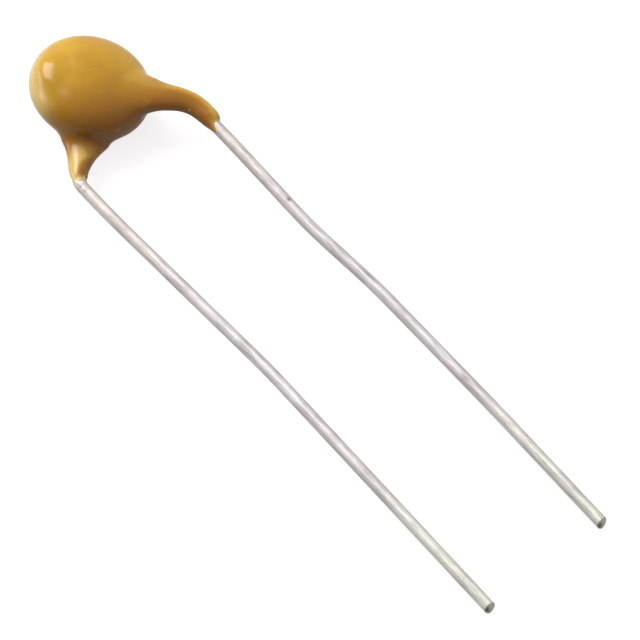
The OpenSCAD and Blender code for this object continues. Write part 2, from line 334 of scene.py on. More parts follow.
@dataclass
class ResinCoat:
    """The dipped resin coat: a rounded body and two necks, blended as the resin flowed."""

    sizes: DiscSizes
    front: WireCourse
    rear: WireCourse
    coarse_sides: int = 40
    disc_rings: int = 15
    rim_rings: int = 10
    crotch_rings: int = 9
    spread_passes: tuple[int, ...] = (30, 14, 8)
    neck_rings: int = 64
    lip_rings: int = 14
    disc_share: float = 0.55
    lip_share: float = 0.92
    lip_wall: float = 0.006
    film_wall: float = 0.02
    film_ease: float = 0.3
    skin_steps: int = 40
    first_step: float = 0.1
    # Painted shade: the way down the disc, where the darkening starts and over what length it grows.
    painted_shade_way: tuple[float, float] = (0.25, 0.97)
    painted_shade_from: float = 0.0
    painted_shade_run: float = 2.8
    # Painted reflection: where the pale band round the disc's upper rim starts, and how pale it is.
    rim_reflection_from: float = 0.84
    rim_painted_reflection: float = 0.45
    bubbles: tuple[Bubble, ...] = (
        Bubble((2.33, -3.7, 0.98), 0.045, 0.03, 0.8),
        Bubble((-0.706, -2.569, 0.288), 0.08, 0.006, 0.2),
    )

    @property
    def sides(self) -> int:
        """Sides of the finest rings: each level after the first has twice as many."""
        return self.coarse_sides * 2 ** (len(self.spread_passes) - 1)

    def body_gap(self, points: np.ndarray) -> np.ndarray:
        """Distance to the body along the line from its middle, a superellipse turned about Z.

        Args:
            points: Points on the disc's axes.

        Returns:
            The point's length times 1 less the inverse of its size in the superellipse.
        """
        sizes = self.sizes
        across = np.hypot(points[..., 0], points[..., 1]) / sizes.coat_r
        through = np.abs(points[..., 2]) / sizes.coat_half
        power = sizes.coat_square
        size = np.maximum((across**power + through**power) ** (1 / power), 0.001)
        return np.linalg.norm(points, axis=-1) * (1 - 1 / size)

    def skin_gap(self, points: np.ndarray) -> np.ndarray:
        """Gap to the skin: the body and both necks, each joined by a quadratic smooth minimum.

        Args:
            points: Points on the disc's axes.

        Returns:
            The least gap, less the square of what the blend has over their difference, by 4 blends.
        """
        sizes = self.sizes
        reach = (points[..., 0] ** 2 + points[..., 1] ** 2) / sizes.coat_r**2
        blend = sizes.neck_blend * np.clip(reach, sizes.least_blend, 1.0)
        gap = self.body_gap(points)
        for course in (self.front, self.rear):
            neck = course.neck_gap(points)
            lap = np.maximum(blend - np.abs(gap - neck), 0.0)
            gap = np.minimum(gap, neck) - lap**2 / (4 * blend)
        for bubble in self.bubbles:
            far = np.linalg.norm(points - np.array(bubble.at), axis=-1) / bubble.radius
            gap = gap - bubble.height * np.exp(-(far**2))
        return gap

    def rim_angle(self, pivot: np.ndarray, share: np.ndarray) -> np.ndarray:
        """Angles at which rings about a pivot cut the rim evenly along its round."""
        spread = math.asin(self.disc_share) * (1 - share) + math.pi / 2 * share
        far = self.sizes.coat_r * np.sin(spread) / np.linalg.norm(pivot)
        return math.atan2(pivot[0], -pivot[1]) + np.arccos(far)

    def turn_rings(self, course: WireCourse) -> tuple[np.ndarray, np.ndarray]:
        """Rings that turn from across the disc to across the wire, about a pivot in the crotch.

        Args:
            course: The wire whose side they are on.

        Returns:
            Centres that settle from the disc's middle line onto the wire by 1 - (1 - t)^4, and
            the rings' outward ways.
        """
        s, b = course.side.value, course.angle
        x = self.disc_share * self.sizes.coat_r
        wire_end = course.bend_start - course.square_up * course.along
        pivot = np.array([x, wire_end[1] - (wire_end[0] - x) * math.tan(b)])
        rim = self.rim_angle(pivot, np.arange(1, self.rim_rings + 1) / self.rim_rings)
        share = np.arange(1, self.crotch_rings + 1) / self.crotch_rings
        angles = np.concatenate([rim, rim[-1] + (b - rim[-1]) * share])
        out = np.stack([np.cos(angles), np.sin(angles)], -1)
        start = course.bend_start - pivot
        to_wire = start[0] * course.along[1] - start[1] * course.along[0]
        to_wire = to_wire / (out[:, 0] * course.along[1] - out[:, 1] * course.along[0])
        settled = 1 - (1 - (math.pi / 2 - angles) / (math.pi / 2 - b)) ** 4
        plan = pivot + (to_wire * settled - pivot[1] * (1 - settled))[:, None] * out
        z = s * self.sizes.wire_z * settled
        centres = np.column_stack([s * plan[:, 0], plan[:, 1], z])
        return centres, np.column_stack([s * out[:, 0], out[:, 1], np.zeros(len(out))])

    def reach(self, centres: np.ndarray, ways: np.ndarray) -> np.ndarray:
        """Walks from near the centres out to the skin, each step 0.9 of the gap that is left.

        Args:
            centres: Start of each walk.
            ways: Its direction.

        Returns:
            How far the skin is.
        """
        far = np.full(ways.shape[:-1], self.first_step)
        for _ in range(self.skin_steps):
            far = np.maximum(0.0, far - 0.9 * self.skin_gap(centres + far[..., None] * ways))
        return far

    def ring_grid(self, centres: np.ndarray, outs: np.ndarray, sides: int) -> np.ndarray:
        """Grid of skin points: each row is a ring about its centre, in the plane of out and Z.

        Args:
            centres: Ring centres, one a row.
            outs: Their outward ways.
            sides: Points of each ring.

        Returns:
            Skin points, rows by sides.
        """
        turn = np.linspace(0, 2 * math.pi, sides, endpoint=False)[:, None]
        ways = np.cos(turn) * outs[:, None] + np.sin(turn) * np.array([0.0, 0.0, 1.0])
        centres = np.repeat(centres[:, None], sides, 1)
        return centres + self.reach(centres, ways)[..., None] * ways

    def onto_skin(self, points: np.ndarray) -> np.ndarray:
        """Moves points onto the skin along the way in which the gap grows fastest.

        Args:
            points: Points near the skin.

        Returns:
            Each point less its gap over its slope, read over a step of a micrometre.
        """
        step = 0.001
        gap = self.skin_gap(points)
        slope = np.stack([(self.skin_gap(points + step * way) - gap) / step for way in np.eye(3)], -1)
        return points - (gap / (slope**2).sum(-1))[..., None] * slope

    def spread(self, grid: np.ndarray, passes: int) -> np.ndarray:
        """Spreads the points of a grid evenly over the skin; its first and last rows stay.

        Args:
            grid: Skin points, rows by sides.
            passes: How often each point goes to the middle of its neighbours and back to the skin.

        Returns:
            The grid after all passes.
        """
        grid = grid.copy()
        for _ in range(passes):
            beside = np.roll(grid, 1, 1) + np.roll(grid, -1, 1)
            grid[1:-1] = self.onto_skin((beside[1:-1] + grid[:-2] + grid[2:]) / 4)
        return grid

    def finer(self, grid: np.ndarray) -> np.ndarray:
        """A grid with a skin point between all neighbours, both along its rows and across them."""
        beside = (grid + np.roll(grid, -1, 1)) / 2
        rows = np.stack([grid, beside], 2).reshape(len(grid), -1, 3)
        fine = np.empty((2 * len(rows) - 1, rows.shape[1], 3))
        fine[::2] = rows
        fine[1::2] = (rows[1:] + rows[:-1]) / 2
        return self.onto_skin(fine)

    def ragged_end(self, course: WireCourse) -> np.ndarray:
        """How far past the bend's start the coat ends at each side of its ring.

        The coat ends in tongues, each a bell of the angle round the wire. Both ends waver by a sum
        of sines of the angle.

        Args:
            course: The wire.

        Returns:
            One distance for each side.
        """
        turn = np.linspace(0, 2 * math.pi, self.sides, endpoint=False)
        waver = 0.03 * np.sin(2 * turn + 0.6) + 0.018 * np.sin(5 * turn + course.side.value)
        reached = np.zeros_like(turn)
        for tongue in course.tongues:
            apart = np.angle(np.exp(1j * (turn - tongue.angle))) / tongue.width
            reached = np.maximum(reached, tongue.length * np.exp(-(apart**2)))
        return course.coat_end + waver + reached

    def neck_grid(self, course: WireCourse) -> np.ndarray:
        """Skin of the neck from the bend to its end, where it thins out on the wire.

        Args:
            course: The wire that the neck runs down.

        Returns:
            Grid points. Each side has its own length, and the wall eases away over the last of it.
        """
        s = course.side.value
        turn = np.linspace(0, 2 * math.pi, self.sides, endpoint=False)
        end = self.ragged_end(course)
        lip_len = np.minimum(course.thin_end, self.lip_share * (end + course.square_up))
        share = (np.arange(1, self.neck_rings + 1) / self.neck_rings)[:, None]
        past = share * (end - lip_len + course.square_up) - course.square_up
        lip = (np.arange(1, self.lip_rings + 1) / self.lip_rings)[:, None]
        past = np.concatenate([past, end - lip_len * (1 - lip)])
        plan, out = course.at(past)
        z = np.full_like(past, s * self.sizes.wire_z)
        centres = np.stack([s * plan[..., 0], plan[..., 1], z], -1)
        outs = np.stack([s * out[..., 0], out[..., 1], np.zeros_like(past)], -1)
        ways = np.cos(turn)[:, None] * outs + np.sin(turn)[:, None] * np.array([0.0, 0.0, 1.0])
        far = self.reach(centres, ways)
        over = np.maximum(past - course.coat_end, 0.0)
        wire_r = self.sizes.wire_r
        film = self.film_wall * smooth_step(over / self.film_ease)
        far = wire_r + (far - wire_r) * np.exp(-((over / self.film_ease) ** 2)) + film
        round_off = np.ones_like(past)
        round_off[self.neck_rings :] = (1 - lip**1.6) * (1 - smooth_step((lip - 0.6) / 0.4))
        far = wire_r + self.lip_wall + np.maximum(far - wire_r - self.lip_wall, 0.0) * round_off
        return centres + far[..., None] * ways

    def closing_ring(self, course: WireCourse) -> np.ndarray:
        """A ring just inside the wire's surface that closes the coat's end."""
        s = course.side.value
        turn = np.linspace(0, 2 * math.pi, self.sides, endpoint=False)
        plan, out = course.at(self.ragged_end(course))
        z = np.full(self.sides, s * self.sizes.wire_z)
        centres = np.column_stack([s * plan[:, 0], plan[:, 1], z])
        outs = np.column_stack([s * out[:, 0], out[:, 1], np.zeros(self.sides)])
        ways = np.cos(turn)[:, None] * outs + np.sin(turn)[:, None] * np.array([0.0, 0.0, 1.0])
        return centres + 0.96 * self.sizes.wire_r * ways

    def grid(self) -> np.ndarray:
        """All rings of the skin, from the rear neck's end over the body to the front neck's end.

        The rings between the necks start coarse. At each level they are spread evenly over the
        skin and then split, while their first and last rows stay where the necks begin.
        """
        half = math.asin(self.disc_share)
        x = self.sizes.coat_r * np.sin(np.linspace(-half, half, self.disc_rings))
        disc = np.column_stack([x, np.zeros_like(x), np.zeros_like(x)])
        up = np.tile([0.0, 1.0, 0.0], (len(x), 1))
        rear, front = self.turn_rings(self.rear), self.turn_rings(self.front)
        centres = np.concatenate([rear[0][::-1], disc, front[0]])
        outs = np.concatenate([rear[1][::-1], up, front[1]])
        sides = self.coarse_sides
        body = self.ring_grid(centres, outs, sides)
        for level, passes in enumerate(self.spread_passes):
            if level > 0:
                sides *= 2
                body = self.finer(body)
                body[[0, -1]] = self.ring_grid(centres[[0, -1]], outs[[0, -1]], sides)
            body = self.spread(body, passes)
        rows = [
            np.concatenate([self.neck_grid(course), self.closing_ring(course)[None]])
            for course in (self.rear, self.front)
        ]
        return np.concatenate([rows[0][::-1], body, rows[1]])

    def thinness(self, grid: np.ndarray) -> np.ndarray:
        """How pale the resin is where it thins out over the wires, with painted light on the upper rim and
        bubbles.

        Args:
            grid: Skin points on the disc's axes.

        Returns:
            Each course's paleness by the wall over its wire: about half is lost where the film ends,
            the rest where the neck is thick or off its outer side, all eased; the outer-side part is partly
            painted light.
            On the body a painted reflection: an eased share of the way out to its rim, times eased shares of
                the
            way up the disc and of the way off from the necks. A painted highlight, a bell of its own, on
            each bubble.
        """
        reach = np.hypot(grid[..., 0], grid[..., 1]) / self.sizes.coat_r
        # Painted reflection: a pale band round the upper rim of the disc, fading towards the necks.
        upper = smooth_step((grid[..., 1] / self.sizes.coat_r + 0.25) / 0.5)
        thin = self.rim_painted_reflection * upper * smooth_step((reach - self.rim_reflection_from) / (1 - self.rim_reflection_from))
        # Painted highlight: a pale bell on each bubble.
        for bubble in self.bubbles:
            far = np.linalg.norm(grid - np.array(bubble.at), axis=-1) / bubble.radius
            thin = np.maximum(thin, bubble.paleness * np.exp(-(far**2)))
        for course in (self.front, self.rear):
            s = course.side.value
            plan = np.stack([s * grid[..., 0], grid[..., 1]], -1)
            z = grid[..., 2] - s * self.sizes.wire_z
            wall = np.hypot(course.plan_gap(plan), z) - self.sizes.wire_r
            off_neck = smooth_step((wall - 0.5) / 0.9)
            thin = np.where(reach < 1.0, thin * off_neck, thin)
            film = 0.65 * (1 - smooth_step((wall - 0.01) / 0.09))
            # Partly painted light: each neck is paler along its outer side, besides where its wall is thin.
            outwards = np.linalg.norm(plan - course.centre, axis=-1) - course.radius
            neck = 0.35 * (1 - smooth_step((wall - 0.12) / 0.14)) * smooth_step(outwards / 0.25)
            thin = np.maximum(thin, course.paleness * (film + neck))
        return thin

    def painted_shading(self, grid: np.ndarray) -> np.ndarray:
        """How much painted shade darkens the resin, low on the disc and on the necks' inner sides.

        Args:
            grid: Skin points on the disc's axes.

        Returns:
            An eased share of the way down the disc and towards the rear wire, and on the necks an
            eased share of the way in from the wire's centre line to the crotch.
        """
        # Painted shade: darker towards the bottom of the disc and the rear wire, and on the necks in towards
        # the crotch.
        down = -(self.painted_shade_way[0] * grid[..., 0] + self.painted_shade_way[1] * grid[..., 1])
        painted_shade = smooth_step((down - self.painted_shade_from) / self.painted_shade_run)
        reach = np.hypot(grid[..., 0], grid[..., 1])
        for course in (self.front, self.rear):
            plan = np.stack([course.side.value * grid[..., 0], grid[..., 1]], -1)
            inwards = course.radius - np.linalg.norm(plan - course.centre, axis=-1)
            on_neck = smooth_step((reach - self.sizes.coat_r) / 0.8)
            own = on_neck * (plan[..., 0] > 0)
            painted_shade = painted_shade * (1 - own) + own * 0.95 * smooth_step((inwards + 0.3) / 0.45)
        return painted_shade

    def build(self) -> bpy.types.Object:
        """Makes the coat's mesh, closed at both ends inside the wires."""
        grid = self.grid()
        skin = Skin("resin_coat", self.sizes.lay(grid))
        return skin.build({"thin": self.thinness(grid), "painted_shade": self.painted_shading(grid)})


@dataclass
class Skin:
    """A closed skin over a grid of points: each row is a ring, and rows follow each other."""

    name: str
    grid: np.ndarray

    def build(self, attributes: dict[str, np.ndarray]) -> bpy.types.Object:
        """Makes a smooth mesh whose quads join neighbouring rings, with a fan at either end.

        Args:
            attributes: Values for each grid point, by name.

        Returns:
            The object, at the origin, with its place in its mesh.
        """
        rows, sides = self.grid.shape[:2]
        index = np.arange(rows * sides).reshape(rows, sides)
        after = np.roll(index, -1, axis=1)
        quads = np.stack([index[:-1], after[:-1], after[1:], index[1:]], -1).reshape(-1, 4)
        ends = self.grid[[0, -1]].mean(axis=1)
        points = np.concatenate([self.grid.reshape(-1, 3), ends])
        first, last = rows * sides, rows * sides + 1
        start = np.column_stack([after[0], index[0], np.full(sides, first)])
        finish = np.column_stack([index[-1], after[-1], np.full(sides, last)])
        faces = quads.tolist() + start.tolist() + finish.tolist()
        mesh = bpy.data.meshes.new(self.name)
        mesh.from_pydata(points.tolist(), [], faces)
        if signed_volume(points, quads, start, finish) < 0:
            mesh.flip_normals()
        for name, values in attributes.items():
            layer = mesh.attributes.new(name, "FLOAT", "POINT")
            flat = np.concatenate([values.ravel(), values[[0, -1]].mean(axis=1)])
            layer.data.foreach_set("value", flat.astype(np.float32))
        mesh.shade_smooth()
        mesh.validate()
        piece = bpy.data.objects.new(self.name, mesh)
        bpy.context.scene.collection.objects.link(piece)
        return piece


def signed_volume(
    points: np.ndarray, quads: np.ndarray, start: np.ndarray, finish: np.ndarray
) -> float:
    """Volume inside a closed mesh: a sixth of the sum of its triangles' triple products.

    Args:
        points: Its points.
        quads: Its four-sided faces.
        start: The triangles at its start.
        finish: The triangles at its end.

    Returns:
        The volume, negative where the faces point inwards.
    """
    triangles = np.concatenate([quads[:, :3], quads[:, [0, 2, 3]], start, finish])
    a, b, c = (points[triangles[:, i]] for i in range(3))
    return float(np.einsum("ij,ij->i", a, np.cross(b, c)).sum() / 6)


@dataclass(frozen=True)
class Nick:
    """A small tool nick on a lead.

    It has a place down the lead from its bend, an angle round the wire (0 is towards the other
    lead and a quarter turn is up), a length, a width as an angle, and a depth. A negative depth
    is a speck that stands proud.
    """

    down: float
    angle: float
    length: float
    width: float
    depth: float
    shade: float


@dataclass
class Lead:
    """One tinned wire, from its end on the electrode to its cut end."""

    name: str
    sizes: DiscSizes
    course: WireCourse
    nicks: tuple[Nick, ...] = ()
    sides: int = 48
    step: float = 0.05
    fine: float = 0.01
    roll_len: float = 1.2
    cut_rise: float = 0.055
    cut_skew: float = 0.05
    cap_rings: int = 12

    def heading(self, s: np.ndarray) -> np.ndarray:
        """Angle of the wire at each distance from its inner end, 0 where it runs straight down.

        Args:
            s: Distances along the wire.

        Returns:
            Less the bend's angle on the face, an even turn through the bend, and then the sum of
            the bows, each eased over its own length.
        """
        course = self.course
        arc = course.radius * course.angle
        turned = np.clip((s - course.face_run) / arc, 0.0, 1.0) * course.angle
        angle = turned - course.angle
        lead = self.sizes.lead_reach + course.bend_end[1]
        place = course.face_run + arc
        for bow in course.bows:
            cad_arc = 12.0 * math.radians(abs(bow.degrees))
            middle = place + bow.share * lead + cad_arc / 2
            share = smooth_step((s - middle) / bow.length + 0.5)
            angle = angle + math.radians(bow.degrees) * share
            place = middle + cad_arc / 2
        return angle

    def frame(self, s: np.ndarray) -> tuple[np.ndarray, np.ndarray, np.ndarray]:
        """The wire's way and its two cross directions.

        Args:
            s: Distances along the wire.

        Returns:
            The way, the direction towards the other lead, and the direction across both.
        """
        side = self.course.side.value
        angle = self.heading(s)[:, None]
        bend_out = self.course.face_run + self.course.radius * self.course.angle
        roll = self.sizes.lean * smooth_step((s - bend_out) / self.roll_len)
        inward = np.column_stack([-side * np.cos(roll), np.zeros_like(s), -side * np.sin(roll)])
        up = np.array([0.0, 1.0, 0.0])
        way = np.sin(angle) * inward - np.cos(angle) * up
        towards = np.cos(angle) * inward + np.sin(angle) * up
        return way, towards, np.cross(towards, way) * side

    def course_line(self) -> tuple[np.ndarray, np.ndarray]:
        """Centre line of the whole wire, the running sum of its way in fine steps.

        Returns:
            Distances along it and points on it, as far as the cut end.
        """
        side, sizes = self.course.side.value, self.sizes
        s = np.arange(0.0, sizes.lead_reach + 8.0, self.fine)
        way = self.frame(s + self.fine / 2)[0]
        start = np.array([side * self.course.inner_end[0], self.course.inner_end[1], side * sizes.wire_z])
        line = start + np.concatenate([np.zeros((1, 3)), np.cumsum(way, 0)[:-1] * self.fine])
        held = line[:, 1] > -sizes.lead_reach
        return s[held], line[held]

    def cut_height(self, across: np.ndarray, upward: np.ndarray) -> np.ndarray:
        """Form of the cut end over its round: two cutter faces that meet in a ridge off its middle.

        Args:
            across: Share of the radius towards the other lead.
            upward: Share of the radius upwards.

        Returns:
            Height of the face over the cut plane: it falls off on both sides of the ridge, faster
            on the outer side, with a small waver from the tearing of the metal.
        """
        off = across - 0.25 * self.course.side.value
        roof = np.where(off > 0, off * 0.55, -off * 1.25)
        torn = 0.12 * np.sin(7 * upward + 2 * across) * np.cos(5 * across)
        return self.cut_rise * (1 - roof + torn) - self.cut_skew * upward

    def build(self) -> bpy.types.Object:
        """Makes the wire: a round carried along its centre line, and its cut end."""
        sizes = self.sizes
        s_line, line = self.course_line()
        stations = np.linspace(0, s_line[-1] - 0.12, int(s_line[-1] / self.step))
        centre = np.column_stack([np.interp(stations, s_line, line[:, i]) for i in range(3)])
        way, towards, over = self.frame(stations)
        turn = np.linspace(0, 2 * math.pi, self.sides, endpoint=False)
        bend_out = self.course.face_run + self.course.radius * self.course.angle
        radius = np.full((len(stations), self.sides), sizes.wire_r)
        marks_and_painted_shade = np.zeros_like(radius)
        for nick in self.nicks:
            down = (stations - bend_out - nick.down)[:, None] / nick.length
            apart = np.angle(np.exp(1j * (turn - nick.angle)))[None] / nick.width
            form = np.exp(-(down**2) - apart**2)
            radius -= nick.depth * form
            marks_and_painted_shade = np.maximum(marks_and_painted_shade, nick.shade * form)
        spread = np.cos(turn)[None, :, None] * towards[:, None] + np.sin(turn)[None, :, None] * over[:, None]
        body = centre[:, None] + radius[..., None] * spread
        tip_way, tip_in, tip_over = way[-1], towards[-1], over[-1]
        share = np.linspace(1, 0, self.cap_rings, endpoint=False)[:, None]
        across, upward = share * np.cos(turn), share * np.sin(turn)
        rim = np.where(share < 1, 1.0, 0.985)
        rise = self.cut_height(across, upward)
        flat = sizes.wire_r * rim[..., None] * (across[..., None] * tip_in + upward[..., None] * tip_over)
        cap = line[-1] + flat + (rise - self.cut_rise * 1.1)[..., None] * tip_way
        # Painted shade: a dark spot on the inner side of the cut face; the face is also darker towards its
        # rim.
        painted_shade_across = self.course.side.value * 0.6
        painted_shade_spot = np.exp(-(((across - painted_shade_across) / 0.38) ** 2) - ((upward - 0.1) / 0.6) ** 2)
        edge = 0.25 * smooth_step((share - 0.75) / 0.25)
        marks_and_painted_shade = np.concatenate([marks_and_painted_shade, 0.08 + edge + (0.82 - edge) * painted_shade_spot])
        grid = np.concatenate([body, cap])
        return Skin(self.name, sizes.lay(grid)).build({"marks_and_painted_shade": marks_and_painted_shade})


class NodeBench:
    """Sets out the nodes of one material or world and joins them."""

    def __init__(self, tree: bpy.types.NodeTree) -> None:
        """Clears the tree.

        Args:
            tree: The node tree to fill.
        """
        self.tree = tree
        tree.nodes.clear()

    def add(self, kind: str, **settings: object) -> bpy.types.Node:
        """Adds a node and sets its own settings.

        Args:
            kind: The node's class name.
            settings: Its properties by name.

        Returns:
            The node.
        """
        node = self.tree.nodes.new(kind)
        for name, value in settings.items():
            setattr(node, name, value)
        return node

    def join(self, start: bpy.types.NodeSocket, end: bpy.types.NodeSocket) -> None:
        """Joins an output to an input."""
        self.tree.links.new(start, end)

    def coordinates(self, scale: tuple[float, float, float]) -> bpy.types.NodeSocket:
        """Object coordinates, stretched by a scale.

        Args:
            scale: Scale on each axis, in features a metre.

        Returns:
            The scaled coordinates.
        """
        place = self.add("ShaderNodeTexCoord")
        mapping = self.add("ShaderNodeMapping")
        mapping.inputs["Scale"].default_value = scale
        self.join(place.outputs["Object"], mapping.inputs["Vector"])
        return mapping.outputs["Vector"]

    def noise(
        self, vector: bpy.types.NodeSocket, scale: float, detail: float, rough: float = 0.5
    ) -> bpy.types.NodeSocket:
        """Noise over a vector.

        Args:
            vector: Where it is read.
            scale: Its features.
            detail: Its octaves.
            rough: How much each octave keeps.

        Returns:
            The noise, from 0 to 1.
        """
        node = self.add("ShaderNodeTexNoise")
        node.inputs["Scale"].default_value = scale
        node.inputs["Detail"].default_value = detail
        node.inputs["Roughness"].default_value = rough
        self.join(vector, node.inputs["Vector"])
        return node.outputs["Fac"]

    def spread(
        self, value: bpy.types.NodeSocket, low: float, high: float, to_low: float, to_high: float
    ) -> bpy.types.NodeSocket:
        """Maps a value from one range to another and holds it there."""
        node = self.add("ShaderNodeMapRange")
        for name, number in zip(("From Min", "From Max", "To Min", "To Max"), (low, high, to_low, to_high)):
            node.inputs[name].default_value = number
        self.join(value, node.inputs["Value"])
        return node.outputs["Result"]

    def mix(
        self,
        share: bpy.types.NodeSocket,
        first: bpy.types.NodeSocket | tuple[float, float, float],
        second: bpy.types.NodeSocket | tuple[float, float, float],
    ) -> bpy.types.NodeSocket:
        """Mixes two colours.

        Args:
            share: Share of the second.
            first: A colour or a socket.
            second: A colour or a socket.

        Returns:
            The mixed colour.
        """
        node = self.add("ShaderNodeMix", data_type="RGBA")
        self.join(share, node.inputs[0])
        for slot, colour in ((6, first), (7, second)):
            if isinstance(colour, tuple):
                node.inputs[slot].default_value = (*colour, 1.0)
            else:
                self.join(colour, node.inputs[slot])
        return node.outputs[2]

    def product(self, first: bpy.types.NodeSocket, second: bpy.types.NodeSocket) -> bpy.types.NodeSocket:
        """Multiplies two values."""
        node = self.add("ShaderNodeMath", operation="MULTIPLY")
        self.join(first, node.inputs[0])
        self.join(second, node.inputs[1])
        return node.outputs[0]

    def bump(
        self,
        height: bpy.types.NodeSocket,
        strength: float,
        distance: float,
        under: bpy.types.NodeSocket | None = None,
    ) -> bpy.types.NodeSocket:
        """A bump from a height.

        Args:
            height: The height.
            strength: How much of it shows.
            distance: What a height of 1 is, in metres.
            under: A bump that this one lies on.

        Returns:
            The bent normal.
        """
        node = self.add("ShaderNodeBump")
        node.inputs["Strength"].default_value = strength
        node.inputs["Distance"].default_value = distance
        self.join(height, node.inputs["Height"])
        if under is not None:
            self.join(under, node.inputs["Normal"])
        return node.outputs["Normal"]

    def attribute(self, name: str) -> bpy.types.NodeSocket:
        """A value that the mesh carries at its points."""
        return self.add("ShaderNodeAttribute", attribute_name=name).outputs["Fac"]

    def surface(self, **values: object) -> bpy.types.Node:
        """The main shader, joined to the output.

        Args:
            values: Its inputs, with underscores for spaces: numbers, colours or sockets.

        Returns:
            The shader.
        """
        shader = self.add("ShaderNodeBsdfPrincipled")
        output = self.add("ShaderNodeOutputMaterial")
        self.join(shader.outputs["BSDF"], output.inputs["Surface"])
        for name, value in values.items():
            socket = shader.inputs[name.replace("_", " ")]
            if isinstance(value, bpy.types.NodeSocket):
                self.join(value, socket)
            else:
                socket.default_value = value
        return shader


def shade(red: int, green: int, blue: int) -> tuple[float, float, float]:
    """A colour as the eye reads it, made linear: ((c + 0.055) / 1.055)^2.4, or c / 12.92 when dark.

    Args:
        red: From 0 to 255.
        green: From 0 to 255.
        blue: From 0 to 255.

    Returns:
        The linear colour.
    """
    share = np.array([red, green, blue]) / 255
    linear = np.where(share > 0.04045, ((share + 0.055) / 1.055) ** 2.4, share / 12.92)
    return tuple(float(c) for c in linear)


@dataclass(frozen=True)
class ResinFinish:
    """Ochre dipping resin: satin, a little translucent, paler where it thins out on the wires."""

    name: str = "ochre_resin"
    deep: tuple[float, float, float] = shade(166, 121, 6)
    full: tuple[float, float, float] = shade(181, 139, 14)
    fleck: tuple[float, float, float] = shade(206, 168, 66)
    # Pale colour where the resin thins over the wires, also used for painted light on the rim, bubbles and
    # neck sides.
    thin: tuple[float, float, float] = shade(222, 204, 142)
    # Painted shade: the deep brown laid on the disc's lower side and the necks' inner sides.
    painted_shade: tuple[float, float, float] = shade(142, 88, 0)

    def material(self) -> bpy.types.Material:
        """Makes the material."""
        material = bpy.data.materials.new(self.name)
        material.use_nodes = True
        bench = NodeBench(material.node_tree)
        place = bench.coordinates((1.0, 1.0, 1.0))
        cloud = bench.spread(bench.noise(place, 420.0, 3.0), 0.35, 0.65, 0.0, 1.0)
        body = bench.mix(cloud, self.deep, self.full)
        speck = bench.spread(bench.noise(place, 9000.0, 2.0), 0.62, 0.75, 0.0, 0.2)
        flecked = bench.mix(speck, body, self.fleck)
        # Painted shade, mixed in by the share that the mesh carries.
        painted_shading = bench.mix(bench.attribute("painted_shade"), flecked, self.painted_shade)
        # Paler where the resin thins over the wires, and painted light on the upper rim, bubbles and necks'
        # outer sides.
        colour = bench.mix(bench.attribute("thin"), painted_shading, self.thin)
        roll = bench.bump(bench.noise(place, 900.0, 2.0), 0.08, 0.00003)
        grain = bench.bump(bench.noise(place, 14000.0, 2.0), 0.04, 0.000004, roll)
        gloss = bench.spread(bench.noise(place, 2500.0, 3.0), 0.3, 0.7, 0.19, 0.26)
        bench.surface(
            Base_Color=colour,
            Roughness=gloss,
            IOR=1.45,
            Specular_IOR_Level=0.45,
            Sheen_Weight=0.15,
            Sheen_Roughness=0.35,
            Sheen_Tint=(*shade(255, 246, 214), 1.0),
            Subsurface_Weight=0.25,
            Subsurface_Radius=(1.0, 0.45, 0.12),
            Subsurface_Scale=0.0004,
            Normal=grain,
        )
        return material


@dataclass(frozen=True)
class TinFinish:
    """Tinned copper wire: a satin grey shine, drawn lines along it, dull clouds, dark marks and painted
    shade.

    Its tint goes from warm near the disc over a cool middle to green-grey at the cut ends.
    """

    name: str = "tinned_wire"
    warm: tuple[float, float, float] = shade(202, 194, 187)
    cool: tuple[float, float, float] = shade(200, 196, 197)
    green: tuple[float, float, float] = shade(202, 201, 190)
    dull: tuple[float, float, float] = shade(180, 175, 173)
    line: tuple[float, float, float] = shade(156, 151, 150)
    # Dark colour for the tool marks and for the painted shade on the cut faces.
    dark: tuple[float, float, float] = shade(70, 66, 63)

    def material(self) -> bpy.types.Material:
        """Makes the material."""
        material = bpy.data.materials.new(self.name)
        material.use_nodes = True
        bench = NodeBench(material.node_tree)
        place = bench.coordinates((1.0, 1.0, 1.0))
        drawn = bench.coordinates((1.0, 0.04, 1.0))
        split = bench.add("ShaderNodeSeparateXYZ")
        bench.join(place, split.inputs[0])
        upper = bench.mix(bench.spread(split.outputs[1], 0.0, 0.009, 0.0, 1.0), self.cool, self.warm)
        clear = bench.mix(bench.spread(split.outputs[1], -0.006, -0.014, 0.0, 1.0), upper, self.green)
        cloud = bench.spread(bench.noise(place, 700.0, 3.0), 0.42, 0.68, 0.0, 0.8)
        body = bench.mix(cloud, clear, self.dull)
        lines = bench.noise(drawn, 16000.0, 3.0, 0.6)
        lined = bench.mix(bench.spread(lines, 0.48, 0.72, 0.0, 0.7), body, self.line)
        # Dark tool marks, and painted shade on the cut faces.
        colour = bench.mix(bench.attribute("marks_and_painted_shade"), lined, self.dark)
        gloss = bench.spread(lines, 0.3, 0.7, 0.6, 0.76)
        soft = bench.bump(bench.noise(place, 3000.0, 2.0), 0.25, 0.000014)
        grain = bench.bump(lines, 0.35, 0.000008, soft)
        bench.surface(Base_Color=colour, Metallic=1.0, Roughness=gloss, Normal=grain)
        return material


@dataclass(frozen=True)
class PlainFinish:
    """A finish with a fine speckle, for the pieces that are sealed inside the coat."""

    name: str
    light: tuple[float, float, float]
    dark: tuple[float, float, float]
    scale: float
    metal: float
    roughness: float

    def material(self) -> bpy.types.Material:
        """Makes the material."""
        material = bpy.data.materials.new(self.name)
        material.use_nodes = True
        bench = NodeBench(material.node_tree)
        place = bench.coordinates((1.0, 1.0, 1.0))
        speckle = bench.noise(place, self.scale, 4.0, 0.6)
        colour = bench.mix(bench.spread(speckle, 0.35, 0.65, 0.0, 1.0), self.dark, self.light)
        gloss = bench.spread(speckle, 0.3, 0.7, self.roughness, self.roughness + 0.12)
        grain = bench.bump(speckle, 0.3, 0.000005)
        bench.surface(Base_Color=colour, Metallic=self.metal, Roughness=gloss, Normal=grain)
        return material


